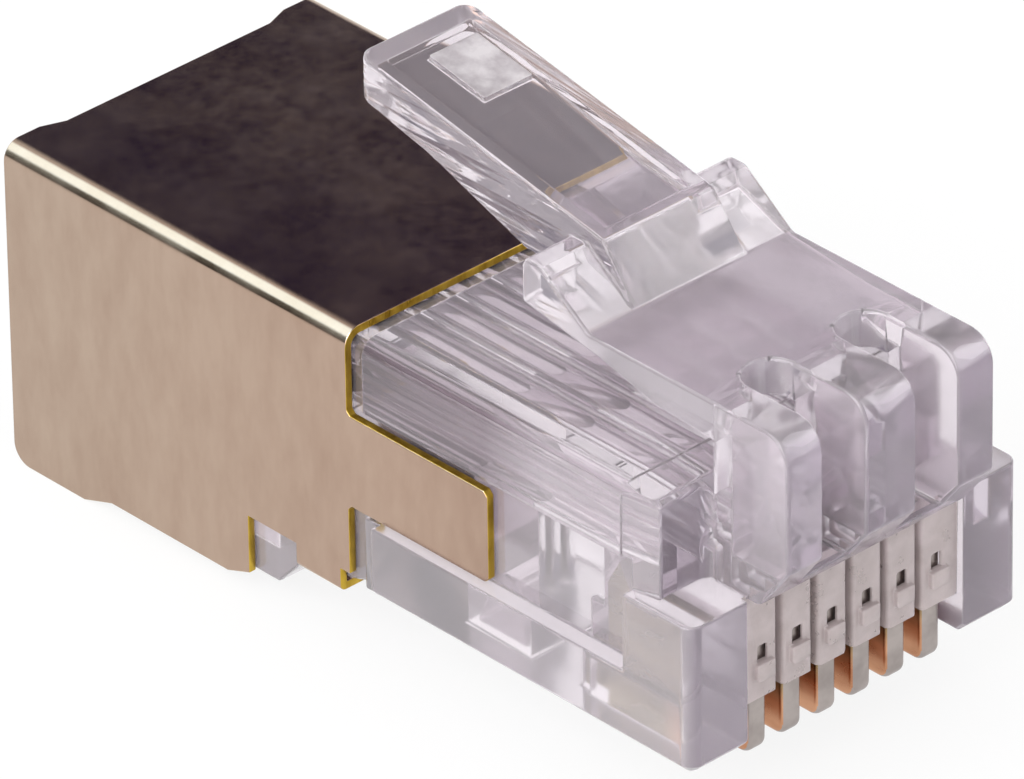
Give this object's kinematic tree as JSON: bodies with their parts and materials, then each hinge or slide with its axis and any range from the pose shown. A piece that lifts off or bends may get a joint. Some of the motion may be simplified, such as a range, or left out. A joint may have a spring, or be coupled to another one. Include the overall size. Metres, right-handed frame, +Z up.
{
  "type": "six position modular plug",
  "caption": "Clear moulded cable plug with a comb of blade contacts, a springy latch lever with a finger tab and a folded metal shield round the open cable end.",
  "frame": {"origin": "middle of the bottom front edge of the moulded body, between the two front pillars", "axes": "+Z up towards the latch lever, -Y out of the mating end, +Y towards the cable end, +X across the contacts"},
  "size_m": [0.0096, 0.0226, 0.0125],
  "materials": {
    "clear_plastic": "clear moulded, faint lavender tint",
    "shield_sheet": "plated sheet, satin, yellow at the cut edges",
    "contact_metal": "stamped and plated"
  },
  "bodies": {
    "plug_body": {"housing": "clear_plastic", "shield": "shield_sheet"},
    "latch": {"latch_lever": "clear_plastic"},
    "bar": {"strain_relief_bar": "clear_plastic"},
    "blade_1": {"contact_1": "contact_metal"},
    "blade_2": {"contact_2": "contact_metal"},
    "blade_3": {"contact_3": "contact_metal"},
    "blade_4": {"contact_4": "contact_metal"},
    "blade_5": {"contact_5": "contact_metal"},
    "blade_6": {"contact_6": "contact_metal"}
  },
  "joints": [
    {"name": "latch_bend", "type": "hinge", "parent": "plug_body", "child": "latch", "pos_m": [0, 0.00115, 0.00697], "axis": [-1, 0, 0], "range_deg": [0, 13], "stiffness_Nm_per_rad": 0.2},
    {"name": "bar_fold", "type": "hinge", "parent": "plug_body", "child": "bar", "pos_m": [0, 0.00747, 0.00012], "axis": [-1, 0, 0], "range_deg": [0, 25]},
    {"name": "crimp_1", "type": "slide", "parent": "plug_body", "child": "blade_1", "axis": [0, 0, 1], "range_m": [0, 0.0009]},
    {"name": "crimp_2", "type": "slide", "parent": "plug_body", "child": "blade_2", "axis": [0, 0, 1], "range_m": [0, 0.0009]},
    {"name": "crimp_3", "type": "slide", "parent": "plug_body", "child": "blade_3", "axis": [0, 0, 1], "range_m": [0, 0.0009]},
    {"name": "crimp_4", "type": "slide", "parent": "plug_body", "child": "blade_4", "axis": [0, 0, 1], "range_m": [0, 0.0009]},
    {"name": "crimp_5", "type": "slide", "parent": "plug_body", "child": "blade_5", "axis": [0, 0, 1], "range_m": [0, 0.0009]},
    {"name": "crimp_6", "type": "slide", "parent": "plug_body", "child": "blade_6", "axis": [0, 0, 1], "range_m": [0, 0.0009]}
  ]
}
